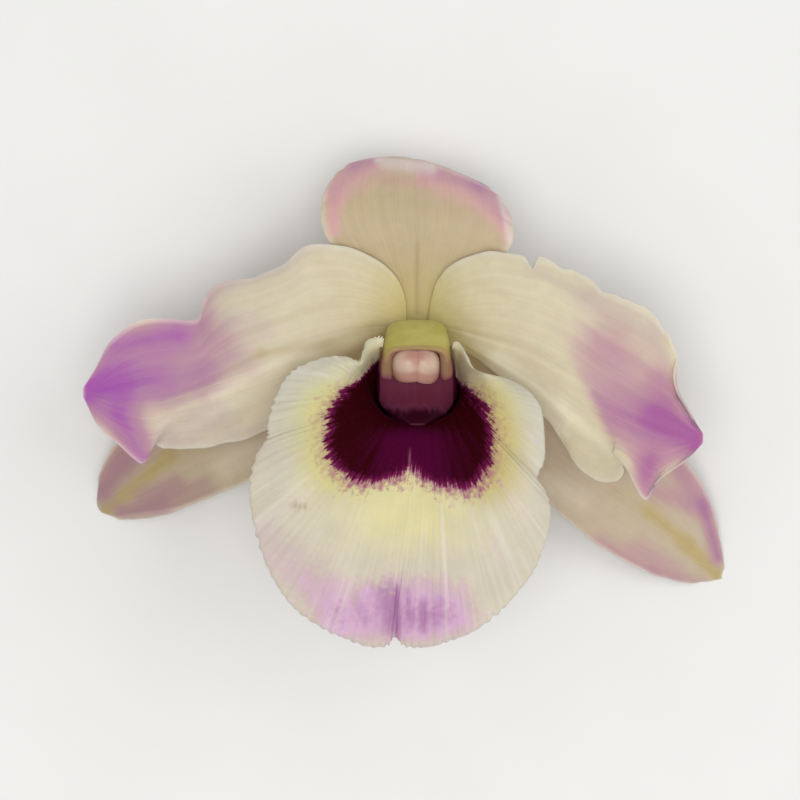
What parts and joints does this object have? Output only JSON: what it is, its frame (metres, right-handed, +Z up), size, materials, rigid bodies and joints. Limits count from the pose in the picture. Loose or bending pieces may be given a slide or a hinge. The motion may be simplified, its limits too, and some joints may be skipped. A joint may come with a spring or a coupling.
{
  "type": "dendrobium orchid flower",
  "caption": "Picked orchid bloom with recurved sepals, wavy petals and a broad frilled lip, lying face up on its sepal tips with its stalk beneath.",
  "frame": {"origin": "on the surface that the bloom rests on, under the middle of its outline", "axes": "+X across the bloom from petal tip to petal tip, +Y towards the dorsal sepal, +Z up, straight out of the flower's face"},
  "size_m": [0.0694, 0.0519, 0.0252],
  "materials": {
    "stalk": "satin",
    "sepal": "satin",
    "petal": "satin",
    "lip": "matte",
    "column": "satin",
    "anther": "gloss",
    "pollen": "gloss"
  },
  "bodies": {
    "root": {"pedicel_ovary": "stalk", "dorsal_sepal": "sepal", "lateral_sepal_left": "sepal", "lateral_sepal_right": "sepal", "petal_left": "petal", "petal_right": "petal", "lip": "lip", "column": "column", "anther_cap": "anther", "pollinia": "pollen"}
  },
  "joints": []
}
